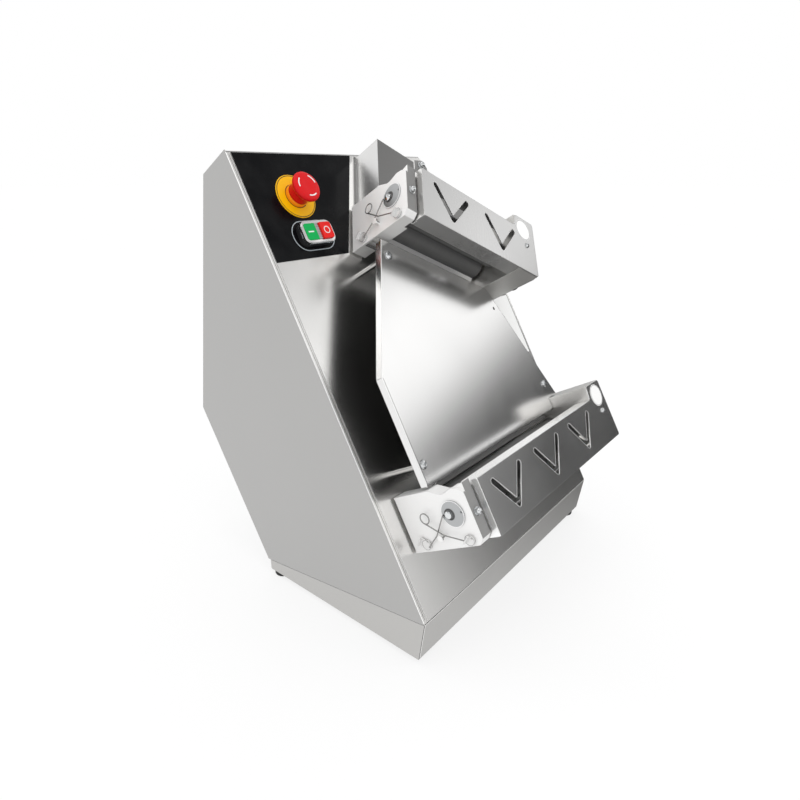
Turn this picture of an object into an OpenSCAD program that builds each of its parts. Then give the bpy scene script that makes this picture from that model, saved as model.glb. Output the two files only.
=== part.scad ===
// Two-stage pizza dough roller: a leaning stainless cabinet, an upper roller
// unit set askew, a chute, and a level lower roller unit.
// Millimetres, +Z up, front towards -Y, origin on the floor under the middle.

/* [Cabinet] */
// Width of the cabinet
body_w = 472; // [470:1:474]
// Length of the front panel along its slope
panel_len = 622; // [620:1:624]
// Lean of the front panel from the vertical, degrees
lean = 30; // [28:1:32]
// Height of the front panel's lower corner above the floor
corner_z = 67; // [66:1:70]
// Thickness of the sheet steel
sheet = 1.5; // [1.2:0.1:2]
// Height of the rubber feet
foot_h = 8; // [6:1:9]

/* [Roller units] */
// Guard length of the upper unit
upper_len = 239; // [235:1:243]
// Guard length of the lower unit
lower_len = 361; // [357:1:363]
// Angle of the upper unit against the lower one
upper_turn = 28.2; // [27:0.1:29]
// Diameter of the rollers
roller_d = 40; // [38:0.5:40]
// Distance of the two roller axes at the thinnest setting
axis_gap = 41; // [41:0.1:41.4]
// Throw of the eccentric that opens the gap
throw = 6; // [5:0.5:6]
// Travel of the gap lever, degrees
lever_turn = 60; // [30:5:60]

/* [Gears] */
// Teeth on each roller gear
teeth = 12; // [12:1:12]
// Teeth on each driving gear
drive_teeth = 24; // [24:1:24]
// Width of the gears
gear_w = 16; // [12:1:17]

/* [Controls] */
// Diameter of the emergency stop head
stop_d = 40; // [36:1:42]
// Diameter of the yellow ring under it
ring_d = 60; // [56:1:62]

/* [Hidden] */
$fn = 48;
s = sheet;
px0 = -body_w/2;
py0 = -182.2;
W = body_w;
T = panel_len;
ra = roller_d/2;
// side outline of the cabinet in panel coordinates: along the slope, outwards
side_pts = [[0,0],[T,0],[T+1,-56.5],[T-253.4,-287],[113.4,-283]];
// front outline of the cabinet, with the cut upper right shoulder
front_pts = [[0,0],[W,0],[W,545],[392,592],[378,T-0.5],[0,T-0.5]];
upper_at = [185.4,527.2];
lower_at = [49.5,151.1];
// shared places in a roller unit: v up, n outwards
rv = -29.8;             // both roller axes
rn = 40.5;              // rear roller axis
fn = rn+axis_gap;       // front roller axis
en = fn+throw;          // eccentric axis
gm = axis_gap/teeth;    // gear module
dn = rn-(teeth+drive_teeth)*gm/2; // driving gear axis
gu = 36;                // gears start this far left of the guard's right end
e1 = [-61.8,26.8];      // rear scraper pivot
e2 = [-61.7,95.4];      // front scraper pivot
stop_at = [79,558.3];
sw_at = [81.5,504];
chute_holes = [[135,441.9],[45,182.5],[368.2,196.5],[318.3,334.7]];
steel = [0.78,0.78,0.77];

// ---------- frames ----------
// panel frame: x along the width, y up the slope, z outwards
module P() translate([px0,py0,corner_z]) rotate([90-lean,0,0]) children();
module UU() P() translate([upper_at[0],upper_at[1],0]) rotate([0,0,-upper_turn]) children();
module LL() P() translate([lower_at[0],lower_at[1],0]) children();
// base frame: X, Y back, Z up from the panel's lower corner
module B() translate([px0,py0,corner_z]) children();

// ---------- helpers ----------
// extrude a (v,n) outline along u
module eu(u0,u1) translate([u0,0,0]) rotate([90,0,90]) linear_extrude(u1-u0) children();
// extrude a (u,n) outline along v
module ev(v0,v1) translate([0,v1,0]) rotate([90,0,0]) linear_extrude(v1-v0) children();
module en_(n0,n1) translate([0,0,n0]) linear_extrude(n1-n0) children();
module cu(u0,u1,v,n,r,f=48) translate([u0,v,n]) rotate([0,90,0]) cylinder(h=u1-u0,r=r,$fn=f);
module cn(n0,n1,x,y,r,f=48) translate([x,y,n0]) cylinder(h=n1-n0,r=r,$fn=f);
module bx(a,b) translate(a) cube(b-a);

function unit(a) = a/norm(a);
function nrm(a,b) = let(d=unit(b-a)) [-d[1],d[0]];
function cr(a,b) = a[0]*b[1]-a[1]*b[0];
// outline moved inwards by k (points run anticlockwise)
function inset(p,k) = [for(i=[0:len(p)-1]) let(a=p[(i+len(p)-1)%len(p)],b=p[i],c=p[(i+1)%len(p)],
  q=b+k*nrm(a,b), r=b+k*nrm(b,c), d1=b-a, d2=c-b, t=cr(r-q,d2)/cr(d1,d2)) q+t*d1];
// one rounded corner
function arc(a,b,c,r,n) = r<=0 ? [b] : let(u=unit(a-b), w=unit(c-b), g=acos(u*w), l=r/tan(g/2),
  m=b+unit(u+w)*(r/sin(g/2)), s0=b+u*l-m, s1=b+w*l-m, a0=atan2(s0[1],s0[0]), a1=atan2(s1[1],s1[0]),
  da=(a1-a0+540)%360-180) [for(i=[0:n]) m+r*[cos(a0+da*i/n),sin(a0+da*i/n)]];
// outline with rounded corners, points as [x,y,r]
function rp(p,n=4) = [for(i=[0:len(p)-1]) let(a=p[(i+len(p)-1)%len(p)],b=p[i],c=p[(i+1)%len(p)])
  each arc([a[0],a[1]],[b[0],b[1]],[c[0],c[1]],b[2],n)];
module slot2(a,b,r) { // rounded slot between two points
  d=b-a; l=norm(d);
  translate(a) rotate(atan2(d[1],d[0])) { translate([0,-r]) square([l,2*r]); circle(r,$fn=24); translate([l,0]) circle(r,$fn=24); }
}
// involute gear outline
function inv_pt(rb,r,a) = let(t=sqrt(max(0,r*r/(rb*rb)-1))*180/PI, f=t-atan(t*PI/180)) [r*cos(a+f), r*sin(a+f)];
function gear_pts(z,m,ha,hf,bl) = let(rp0=z*m/2, rb=rp0*cos(20), rt=rp0+ha, rf=rp0-hf, r0=max(rb,rf),
  fp=let(t=sqrt(rp0*rp0/(rb*rb)-1)*180/PI) t-atan(t*PI/180),
  half=90/z-bl/(2*rp0)*180/PI)
  [for(i=[0:z-1]) let(c=i*360/z) each concat(
    [[rf*cos(c-half-fp),rf*sin(c-half-fp)]],
    [for(k=[0:5]) inv_pt(rb,r0+(rt-r0)*k/5,c-half-fp)],
    [for(k=[5:-1:0]) let(q=inv_pt(rb,r0+(rt-r0)*k/5,-half-fp)) [q[0]*cos(c)+q[1]*sin(c)*1, q[0]*sin(c)-q[1]*cos(c)]],
    [[rf*cos(c+half+fp),rf*sin(c+half+fp)]])];
module gear(z,bl,ph) rotate(ph) polygon(gear_pts(z,gm,0.86*gm,1.06*gm,bl));

// pan head screw along +z, head on z=0, shank below, cross recess
module pan_screw(l=6,r=4.6) {
  difference() {
    rotate_extrude($fn=40) polygon([[0,0],[r,0],[r,0.8],[r*0.9,1.7],[r*0.68,2.4],[r*0.35,2.75],[0,2.85]]);
    translate([0,0,2.6]) { cube([r*1.05,0.9,2.2],center=true); cube([0.9,r*1.05,2.2],center=true); }
  }
  translate([0,0,-l]) cylinder(h=l,r=1.95,$fn=32);
}
module dome_bolt(l=5,r=4.4) { cylinder(h=1.2,r=r+0.8,$fn=40); translate([0,0,1.2]) cylinder(h=2.6,r=r,$fn=6); translate([0,0,3.8]) rotate_extrude($fn=40) polygon([[0,0],[r*0.86,0],[r*0.8,1.2],[r*0.55,2.4],[0,3]]); translate([0,0,-l]) cylinder(h=l,r=2.45,$fn=32); }

// ---------- cabinet ----------
side_rev = [side_pts[0],side_pts[4],side_pts[3],side_pts[2],side_pts[1]];
module side_solid(k,x0,x1) eu(x0,x1) polygon(inset(side_rev,k));
// narrow return along the sloping back, just inside the rear cover
module back_return(x0,x1,e) { d=unit(side_pts[3]-side_pts[2]); w=[-d[1],d[0]]; a=side_pts[2]+d*e; b=side_pts[3]-d*14;
  eu(x0,x1) polygon([a-w*(s+0.1),a-w*(s+1.6),b-w*(s+1.6),b-w*(s+0.1)]); }

module left_side_panel() color(steel) P() {
  side_solid(0,0,s);
  bx([s-0.2,0.6,-s],[6.8,T-3,-0.02]);
  back_return(s-0.2,12,14);
}
module right_side_panel() color(steel) P() {
  intersection() {
    side_solid(0,W-s,W);
    en_(-400,-s) polygon([[0,-5],[W+5,-5],[W+5,544.5],[0,544.5]]);
  }
  back_return(W-12,W-s+0.2,110);
}
module front_panel() color([0.84,0.84,0.83]) P() difference() {
  en_(-s,0) polygon([[7.1,0.6],[W,0.6],[W,545-0.8],[391.2,591],[377.3,T-2.6],[7.1,T-2.6]]);
  cn(-5,5,stop_at[0],stop_at[1],11.1);
  en_(-5,5) translate(sw_at) square([45.2,23.4],center=true);
  translate([lower_at[0]+lower_len,lower_at[1],0]) bx([-39.5,-71,-5],[-17,11.4,5]);
  translate([upper_at[0],upper_at[1],0]) rotate([0,0,-upper_turn]) translate([upper_len,0,0]) bx([-39.5,-71,-5],[-17,11.4,5]);
}
module top_cover() color(steel) P() difference() {
  intersection() {
    difference() {
      en_(-290,-s) polygon([[s+0.1,500],[W-s,500],[W,545],[392,592],[378,T-0.5],[s+0.1,T-0.5]]);
      en_(-291,0) polygon([[s-1,490],[W-s-0.1,490],[W-s,543.4],[391.1,590.5],[377.2,T-2],[s-1,T-2]]);
    }
    side_solid(0,s,W);
  }
  bx([W-s-0.15,400,-400],[W+1,544.65,1]);
  intersection() {
    difference() { side_solid(-0.5,-1,W+1); side_solid(s+0.15,-5,W+5); }
    bx([-5,110,-400],[W+5,T+10,-56.3]);
  }
  // the rear cover lies against it
  translate([0,0,0]) eu(-1,W+1) polygon([[T-24,-57.5-21],[T+3,-56.9],[T+3,-90],[T-250,-330],[400,-330]]);
}
module vent(x,t,l) en_(-300,-260) slot2([x,t],[x,t+l],2.2);
rear_screws = [[16,150],[W-16,150],[16,352],[W-16,352],[W/2,150]];
module rear_cover() color(steel) P() difference() {
  intersection() {
    difference() {
      side_solid(0,s+0.1,W-s-0.1);
      side_solid(s,-5,W+5);
      bx([-5,T-60,-54],[W+5,T+10,10]);
      bx([-5,-60,-200],[W+5,118,10]);
    }
    en_(-400,-56.5) polygon([[0,114.6],[W,114.6],[W,545],[392,592],[378,T+5],[0,T+5]]);
    union() { eu(-5,W+5) polygon([[118,-300],[T-250,-300],[T+4,-58.6],[T+2,-50],[T-30,-70],[360,-250],[118,-250]]); bx([0,100,-290],[W,130,-270]); }
  }
  for(i=[0:8]) vent(150+i*22,185,70);
  for(i=[0:8]) vent(150+i*22,275,50);
  cn(-300,-250,90,150,8.1);
  for(p=rear_screws) cn(-300,-250,p[0],p[1],2.05,32);
}
module base_pan() color(steel) B() difference() {
  o = [[0,-0.5],[302,-43.9],[300.5,-59],[8,-59]];
  union() {
    difference() {
      intersection() {
        eu(0,W) polygon(o);
        translate([0,0,-70]) linear_extrude(80) polygon(rp([[0,-5,3],[W,-5,3],[W,301.8,7],[0,301.8,7]],4));
      }
      intersection() {
        eu(s,W-s) polygon([[-5,20],[400,20],[300.4,-59+s],[9.5,-59+s],[1.7,-1]]);
        translate([0,0,-70]) linear_extrude(100) polygon(rp([[s,-5,1],[W-s,-5,1],[W-s,300.2,5.5],[s,300.2,5.5]],4));
      }
      translate([-1,-60,-1]) cube([W+2,60,40]);
    }
  }
  for(p=foot_at) translate([p[0],p[1],-70]) cylinder(h=20,r=3.1,$fn=32);
}
foot_at = [[13.6,284],[W-16,284],[27,31],[W-20,22]];
module feet() color([0.06,0.06,0.06]) B() for(p=foot_at) translate([p[0],p[1],-59-foot_h]) {
  rotate_extrude($fn=48) polygon([[0,0],[11.5,0],[12.6,0.5],[13.2,1.6],[13.4,foot_h],[0,foot_h]]);
  translate([0,0,foot_h]) cylinder(h=6,r=3,$fn=32);
}
module cable_gland() color([0.09,0.09,0.1]) P() translate([90,150,-285.2]) rotate([180,0,0]) difference() {
  union() {
    translate([0,0,-1.2]) { cylinder(h=3,r=13.2,$fn=6); translate([0,0,3]) rotate_extrude($fn=48) polygon([[0,0],[12,0],[12,9],[9.5,13],[0,13]]); }
    translate([0,0,-10]) cylinder(h=10,r=8,$fn=48);
    translate([0,0,-9]) cylinder(h=5,r=12.5,$fn=6);
  }
  translate([0,0,11]) cylinder(h=40,r=3.6,$fn=36);
}
module control_box() color([0.62,0.63,0.64]) P() translate([30,320,-62]) {
  difference() {
    en_(0,58) polygon(rp([[0,0,4],[120,0,4],[120,100,4],[0,100,4]],3));
    en_(2.5,55.5) polygon(rp([[2.5,2.5,2],[117.5,2.5,2],[117.5,97.5,2],[2.5,97.5,2]],3));
    cn(-5,10,60,50,9); translate([100,50,20]) rotate([0,90,0]) cylinder(h=40,r=8);
  }
  bx([12,20,2.5],[108,26,10]); bx([12,40,2.5],[108,80,34]);
}

// ---------- controls ----------
module control_overlay() color([0.05,0.05,0.06]) P() difference() {
  en_(0,0.7) polygon([[7.6,474.5],[131.2,474.5],[212.6,T-3.4],[7.6,T-3.4]]);
  cn(-5,5,stop_at[0],stop_at[1],11.1);
  en_(-5,5) translate(sw_at) square([45.2,23.4],center=true);
}
module estop_ring() color([0.95,0.68,0.05]) P() translate([stop_at[0],stop_at[1],0.7]) difference() {
  rotate_extrude($fn=96) polygon([[11.2,0],[ring_d/2-0.3,0],[ring_d/2,0.3],[ring_d/2,0.9],[ring_d/2-0.3,1.2],[11.2,1.2]]);
}
module estop_collar() color([0.93,0.42,0.05]) P() translate([stop_at[0],stop_at[1],0]) rotate_extrude($fn=96)
  polygon([[10.4,1.9],[15.6,1.9],[15.6,6.2],[15,7.2],[14.3,7.2],[14.3,3.1],[10.4,3.1]]);
module estop_block() color([0.13,0.13,0.14]) P() translate([stop_at[0],stop_at[1],0]) {
  difference() { translate([0,0,-9]) cylinder(h=10.9,r=11,$fn=72); translate([0,0,-10]) cylinder(h=12,r=8.6,$fn=48); }
  difference() { translate([0,0,-6.5]) cylinder(h=5,r=14.5,$fn=8); translate([0,0,-7]) cylinder(h=6,r=11,$fn=72); }
  difference() { translate([-15,-20,-48]) cube([30,40,39]); translate([0,0,-41]) cylinder(h=40,r=8.6,$fn=48); }
}
module estop_plunger() color([0.55,0.05,0.05]) P() translate([stop_at[0],stop_at[1],0]) {
  translate([0,0,-34]) cylinder(h=45,r=8.5,$fn=48);
}
module estop_head() color([0.82,0.07,0.09]) P() translate([stop_at[0],stop_at[1],0]) rotate_extrude($fn=96)
  polygon([[8.55,6.6],[13.9,6.6],[13.9,16.4],[14.4,18],[15.6,19.6],[17.6,21.2],[stop_d/2-0.7,22.8],[stop_d/2,24.6],[stop_d/2,26.2],[stop_d/2-0.5,27.6],
    [stop_d/2-1.8,28.8],[stop_d/2-4,29.6],[12,30],[8,30],[3,29.6],[0,29.5],[0,11.2],[8.55,11.2]]);
module bezel2(dx,dy,r) polygon(rp([[-dx,-dy,r],[dx,-dy,r],[dx,dy,r],[-dx,dy,r]],6));
module switch_body() color([0.06,0.06,0.07]) P() translate([sw_at[0],sw_at[1],0.7]) difference() {
  linear_extrude(7.4) bezel2(25.6,14.8,8.8);
  translate([0,0,-1]) linear_extrude(20) bezel2(22.3,11.3,4);
}
module switch_bezel() color([0.85,0.85,0.86]) P() translate([sw_at[0],sw_at[1],8.1]) difference() {
  union() { linear_extrude(4.2) bezel2(26,15.2,9); translate([0,0,4.2]) linear_extrude(0.9) bezel2(25.3,14.5,8.4); }
  translate([0,0,-1]) linear_extrude(20) bezel2(22.3,11.3,4);
}
module start_button() color([0.05,0.62,0.28]) P() translate([sw_at[0],sw_at[1],0]) {
  translate([0,0,1]) linear_extrude(12.6) polygon(rp([[-22,-11,3.6],[-3.4,-11,0.8],[-3.4,11,0.8],[-22,11,3.6]],4));
  translate([-12.7,0,-14]) cylinder(h=15,r=4,$fn=32);
}
module stop_button() color([0.86,0.12,0.14]) P() translate([sw_at[0],sw_at[1],0]) {
  translate([0,0,1]) linear_extrude(14.6) polygon(rp([[3.4,-11,0.8],[22,-11,3.6],[22,11,3.6],[3.4,11,0.8]],4));
  translate([12.7,0,-14]) cylinder(h=15,r=4,$fn=32);
}
module indicator_lens() color([0.75,0.76,0.76]) P() translate([sw_at[0],sw_at[1],0]) {
  translate([-3,-11,1]) cube([6,22,11.4]);
  for(i=[0:6]) translate([-3,-9.9+i*3.3,12.4]) cube([6,1.6,0.6]);
  translate([-2,-8,-4]) cube([4,16,5]);
}
module switch_block() color([0.12,0.12,0.13]) P() translate([sw_at[0],sw_at[1],0]) difference() {
  union() { translate([-21.8,-11.8,-10.1]) cube([43.6,23.6,7.9]); translate([-26,-15,-44]) cube([52,30,34]); }
  for(x=[-12.7,12.7]) translate([x,0,-20]) cylinder(h=30,r=4.25,$fn=32);
  translate([-2.3,-8.3,-4.5]) cube([4.6,16.6,10]);
}

// ---------- chute and feed ----------
module feed_plate() color(steel) UU() {
  L = upper_len;
  difference() {
    union() {
      en_(48.5,50) polygon([[-8,4.6],[5,4.6],[5,0],[L-46,0],[L-46,21.6],[L-1,21.6],[L-1,89.6],[-8,95.3]]);
      bx([-8,4.6,0.2],[-6.5,95.2,49]);
      bx([L-2.5,21.6,0.2],[L-1,89.5,49]);
      bx([-13,8,0.2],[-7,95.2,1.4]);
      translate([-8,95.3,0]) rotate([0,0,atan2(-5.7,L+7)]) bx([0,-1.5,36],[L+6.9,0,49]);
    }
    for(v=[16,84]) cn(-1,3,-10.2,v,1.05,20);
  }
}
module chute_plate() color([0.86,0.86,0.85]) P() {
  difference() {
    en_(58.5,60) polygon([[37,156],[365.8,156],[365.8,173.4],[391.5,173.4],[318.4,366.6],[134,465.4],[37,296.7]]);
    for(p=chute_holes) cn(50,65,p[0],p[1],2.1,32);
  }
  // bottom lip bent back over the rear roller
  eu(53.4,365.8) polygon([[157,58.5],[157,60],[155.6,60],[147.2,52.4],[148.3,51.3],[156.2,58.5]]);
  // left flanges
  bx([37,157,49.5],[38.5,296.5,58.6]);
  translate([37,296.7,0]) rotate([0,0,atan2(465.4-296.7,134-37)]) bx([0.6,-1.5,49.5],[193,0,58.6]);
  // right flange
  translate([391.5,173.4,0]) rotate([0,0,atan2(366.6-173.4,318.4-391.5)]) bx([0.5,0,49.5],[204,1.5,58.6]);
}
module chute_standoffs() color([0.8,0.8,0.8]) P() for(p=chute_holes) difference() {
  cn(0,58.5,p[0],p[1],3.6,40); cn(48,60,p[0],p[1],2.05,32);
}

// ---------- roller unit, drawn in its own frame ----------
ho = [[-71.5,3,1],[3,3,1],[2.4,62,6],[-5,79,8],[-4.6,85,6],[-0.6,97,6],[-1.8,107,4],[-7,115,5],[-64,115,4],[-71.5,108,4]];
ho_in = let(q=inset([for(p=ho)[p[0],p[1]]],1.5)) [for(i=[0:9]) [q[i][0],q[i][1],[0.5,0.5,4,9,7,5,3,4,3,3][i]]];
module left_housing_u(ear=false) {
  difference() {
    union() {
      eu(-18.3,-15.3) polygon(rp(ho,4));
      difference() {
        eu(-15.5,3) polygon(rp(ho,4));
        eu(-15.3,4) polygon(rp(ho_in,4));
        bx([-15.3,-73,27],[4,-60,52]);              // gap in the bottom flange
        bx([-2,-73,90],[4,10,120]);                 // the front flange is short
      }
      // bracket that stands above the front corner
      eu(-15.4,-13.8) polygon([[-60,96],[-1.8,97.5],[2.8,113.6],[2.8,115],[-60,115]]);
      bx([-15.3,-20,113.5],[-2.2,2.8,115]);
      if (ear) en_(113.5,115) polygon([[-15,0.4],[-3,0.4],[-2.2,0.4],[20.5,0.4],[20.5,16.5],[12.2,23.9],[-2.2,17],[-2.2,2.8],[-15,2.8]]);
      cu(-15.4,-4,rv,rn,12.5);
    }
    cu(-19,-12,rv,en,13.05);                        // seat of the eccentric
    cu(-14.2,0,rv,rn,9);                            // blind seat of the rear bush
    cu(-19,-12,e1[0],e1[1],3.1);
    cu(-19,-12,e2[0],e2[1],3.1);
    cn(108,120,-10.5,-34.2,2.5,32);
    if (ear) cn(108,120,8.6,13.6,2.5,32);
  }
  cu(-23.6,-18.2,-54.8,58.7,2.2,24);                // middle screw
  cu(-25.4,-23.5,-54.8,58.7,4.2,32);
}
module right_housing_u(L) {
  difference() {
    union() {
      bx([L-44,-72,0.3],[L-42.5,20.6,123.3]);       // inner wall
      bx([L-44,19.1,0.3],[L-1.6,20.6,123.3]);       // top
      bx([L-44,-72,0.3],[L-1.6,-70.5,123.3]);       // bottom
      bx([L-44,-72,121.8],[L-32,20.6,123.3]);       // front returns
      bx([L-44,8,121.8],[L-1.6,20.6,123.3]);
      bx([L-44,-38,121.8],[L-1.6,-12,123.3]);
      bx([L-44,-72,121.8],[L-1.6,-60,123.3]);
      bx([L-14,-72,0.3],[L-1.6,20.6,1.8]);          // rear return
    }
    cu(L-46,L-40,rv,rn,10);                         // rear bush seat
    cu(L-46,L-40,rv+2.6,fn+1.5,16.5);               // the front hub moves in here
    cu(L-46,L-40,e1[0],e1[1],3.1);
    cu(L-46,L-40,e2[0],e2[1],3.1);
    cn(118,126,L-21,-25,2.1,32);
    bx([L-39.5,-71,-5],[L-17,11.4,5]);
  }
}
module gear_cover_u(L) difference() {
  eu(L-1.5,L) polygon(rp([[-72,0.3,2],[20.6,0.3,2],[20.6,119.5,4],[-72,119.5,4]],3));
  cu(L-3,L+2,rv,en,13.05);
  cu(L-3,L+2,rv,rn,7.4);
  for(a=[0:lever_turn/4:lever_turn]) cu(L-3,L+2,rv+30*cos(-118+a),en+30*sin(-118+a),1.9,24);
}
module v_cut(x,y) en_(110,130) { slot2([x-30,y+21],[x,y-19],4.1); slot2([x+30,y+21],[x,y-19],4.1); }
module guard_u(L,vs) {
  difference() {
    union() {
      en_(123.5,125) polygon(rp([[0,-71.5,2],[L,-71.5,3],[L,20.6,4],[L-43,20.6,5],[L-46.5,0,6],[0,0,2]],4));
      eu(1.5,L-45) polygon([[-71.5,101],[-70,101],[-70,123.5],[-71.5,123.5]]);
      eu(1.5,L-45) polygon([[-71.5,101],[-64,101],[-64,102.5],[-71.5,102.5]]);
      eu(1.5,L-47) polygon([[-1.5,100],[0,100],[0,123.5],[-1.5,123.5]]);
      eu(0,1.5) polygon(rp([[-71.5,107,3],[0,107,3],[0,123.6,0],[-71.5,123.6,0]],3));
    }
    for(x=vs) v_cut(x,-35.5);
    cn(110,130,L-21,-25,2.1,32);
  }
}
// rear bushes: blind one at the left, one in the right inner wall
module bushes_u(L) {
  difference() { cu(-14.2,-4.4,rv,rn,9); cu(-15,-4,rv,rn,6.05); }
  difference() { union() { cu(L-44,L-38,rv,rn,10); cu(L-45.3,L-44,rv,rn,12); } cu(L-46,L-37,rv,rn,8.06); }
}
module rear_shaft_u(L) {
  cu(-13.2,0.6,rv,rn,6);
  cu(0.6,L-17,rv,rn,8);
  cu(L-17,L-4,rv,rn,6);
}
module rear_roller_u(L) difference() {
  rotate([0,90,0]) translate([-rn,rv,4.6]) rotate_extrude($fn=96) polygon([[8,0],[ra-1,0],[ra,1],[ra,L-52.6],[ra-1,L-51.6],[8,L-51.6]]);
}
module rear_gear_u(L) translate([L-gu,rv,rn]) rotate([90,0,90]) difference() { linear_extrude(gear_w) gear(teeth,0.45,105); translate([0,0,-1]) cylinder(h=30,r=8.0); }
// phase: a tooth of the rear gear points outwards (n) between two teeth of the front gear
module front_gear_u(L) translate([L-gu,rv,fn]) rotate([90,0,90]) difference() { linear_extrude(gear_w) gear(teeth,0.45,90); translate([0,0,-1]) cylinder(h=30,r=7.6); }
module drive_gear_u(L) translate([L-gu,rv,dn]) rotate([90,0,90]) {
  difference() {
    linear_extrude(gear_w) gear(drive_teeth,0.45,90);
    for(a=[0:60:300]) rotate(a) translate([24,0,-1]) cylinder(h=30,r=6.5,$fn=36);
    translate([0,0,gear_w-4]) difference() { cylinder(h=8,r=34); translate([0,0,-1]) cylinder(h=10,r=13); }
  }
  translate([0,0,-34]) cylinder(h=34,r=8);
  translate([0,0,-4]) cylinder(h=4,r=12);
}
module gap_axle_u(L) {
  cu(-13.4,L+1.2,rv,fn,5);
  cu(-18.3,-13.4,rv,en,12.98);
  difference() {
    cu(-19.8,-18.3,rv,en,16.5);
    for(q=[-13.6,13.6]) cu(-21,-18,rv+0.6,en+q,1.3,24);
    cu(-21,-19.2,rv,fn,6.6);
  }
  // screw on the axle's end
  cu(-20.4,-18.3,rv,fn,4.6,40);
  translate([-20.4,rv,fn]) rotate([0,-90,0]) cylinder(h=1.6,r=3.4,$fn=6);
  cu(L-8,L,rv,en,12.98);
  cu(L,L+1.5,rv,en,16.5);
}
module gap_lever_u(L) {
  a = -118;                                          // rest direction of the arm in (v,n)
  translate([L+1.5,rv,en]) rotate([90,0,90]) difference() {
    union() {
      cylinder(h=3,r=12);
      linear_extrude(3) polygon(rp([[-8,-6,0],[0,-11.9,0],[30*cos(a)+8*sin(a)*-1,30*sin(a)-6,6],[30*cos(a)-9,30*sin(a)+2,6],[30*cos(a)+2,30*sin(a)+9,0]],3));
    }
  }
  // plunger housing, pin and knob
  translate([L+1.5,rv+30*cos(a),en+30*sin(a)]) rotate([0,90,0]) {
    cylinder(h=3,r=8.5);
    translate([0,0,3]) cylinder(h=9,r=6);
    translate([0,0,12]) rotate_extrude($fn=48) polygon([[0,0],[6,0],[10.5,2.5],[12,6],[12,12],[10.4,15.6],[7,17.6],[0,18.2]]);
    translate([0,0,-1.1]) cylinder(h=1.2,r=1.6,$fn=24);
  }
}
module front_bushes_u(L) {
  difference() { cu(5,15,rv,fn,7.5); cu(4,16,rv,fn,5.05); }
  difference() { cu(L-gu+1,L-gu+gear_w-1,rv,fn,7.5); cu(L-gu,L-gu+gear_w,rv,fn,5.05); }
}
module front_roller_u(L) rotate([0,90,0]) translate([-fn,rv,4.6]) rotate_extrude($fn=96)
  polygon([[7.55,0],[ra-1,0],[ra,1],[ra,L-52.6],[ra-1,L-51.6],[11,L-51.6],[11,L-gu-4.6],[7.55,L-gu-4.6]]);
// blade from the pivot rod up to the roller's underside; sg is +1 behind, -1 in front
module scraper_u(L,e,sg,c) {
  cu(-21.2,L-40.5,e[0],e[1],3);
  // blade
  tip=[c[0]-0.45,c[1]];
  d=unit(tip-e); w=[-d[1],d[0]];
  eu(6,L-48) polygon([e-0.75*w+d*2,tip-0.3*w,tip+0.15*w,e+0.75*w+d*2]);
  // outer tab with two small holes and a bent flap
    fl = sg>0 ? [[-59.5,17.5],[-51,24.8]] : [[-64.2,90.4],[-57,99.6]];
  difference() {
    union() { cu(-21.2,-19.6,sg>0?-61.5:-63,sg>0?29:97.5,6.6); eu(-21.2,-19.6) polygon(sg>0?[[-51,24.8],[-57,31],[-64,25],[-59.5,17.5]]:[[-57,99.6],[-62,100.5],[-66,94],[-64.2,90.4]]); }
    for(h=(sg>0?[[-57.6,32.2],[-64.3,33.4]]:[[-61.2,101.6],[-61,96.6]])) cu(-22,-19,h[0],h[1],1.05,20);
  }
  dd=unit(fl[1]-fl[0]); nn=[dd[1],-dd[0]];
  eu(sg>0?-24.8:-26,-19.6) polygon([fl[0]+0.05*dd,fl[1]-0.05*dd,fl[1]-0.05*dd-1.4*nn,fl[0]+0.05*dd-1.4*nn]);
}
// bent wire spring through points (v,n), with legs into holes and a ring at its far end
module wire_u(p,u0,legs,ring) {
  r=0.8;
  for(i=[0:len(p)-2]) let(d=p[i+1]-p[i],l=norm(d)) translate([u0,p[i][0],p[i][1]]) rotate([atan2(d[1],d[0]),0,0]) rotate([-90,0,0]) cylinder(h=l,r=r,$fn=24);
  for(q=p) translate([u0,q[0],q[1]]) sphere(r=r+0.06,$fn=24);
  for(q=legs) translate([u0,q[0],q[1]]) rotate([0,90,0]) cylinder(h=q[2],r=0.76,$fn=24);
  if (ring) translate([u0,ring_at[0],ring_at[1]]) rotate([90,0,90]) rotate_extrude($fn=48) translate([6.6,0]) circle(r-0.04,$fn=24);
}
module gearmotor_u(L,ml) {
  difference() {
    union() {
      bx([L-92,-66,-62],[L-46.5,2,-s-0.2]);
      translate([0,rv-2,0]) cn(-62-ml,-62,L-69.5,0,33,64);
      translate([0,rv-2,0]) cn(-62-ml-8,-62-ml,L-69.5,0,28,64);
      bx([L-82,-20,-62-ml*0.75],[L-57,8,-62-ml*0.35]);
      for(i=[0:10]) rotate([0,0,0]) translate([L-69.5,rv-2,0]) rotate([0,0,i*30+15]) bx([32,-1,-58-ml],[36,1,-66]);
    }
    cu(L-75,L-40,rv,dn,8.06);
  }
}

module screws() color([0.85,0.85,0.86]) {
  P() {
    for(i=[0:2]) translate([chute_holes[i][0],chute_holes[i][1],60]) pan_screw(8,5.6);
    for(p=rear_screws) translate([p[0],p[1],-283.17-(p[1]-113.4)*0.0155]) rotate([180,0,0]) pan_screw(5,4);
  }
  UU() { translate([upper_len-21,-25,125]) pan_screw(6,4); translate([-10.5,-34.2,115]) dome_bolt(4,4.4); translate([8.6,13.6,115]) dome_bolt(4,4.4); }
  LL() { translate([lower_len-21,-25,125]) pan_screw(6,4); translate([-10.5,-34.2,115]) dome_bolt(4,4.4); }
}

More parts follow.
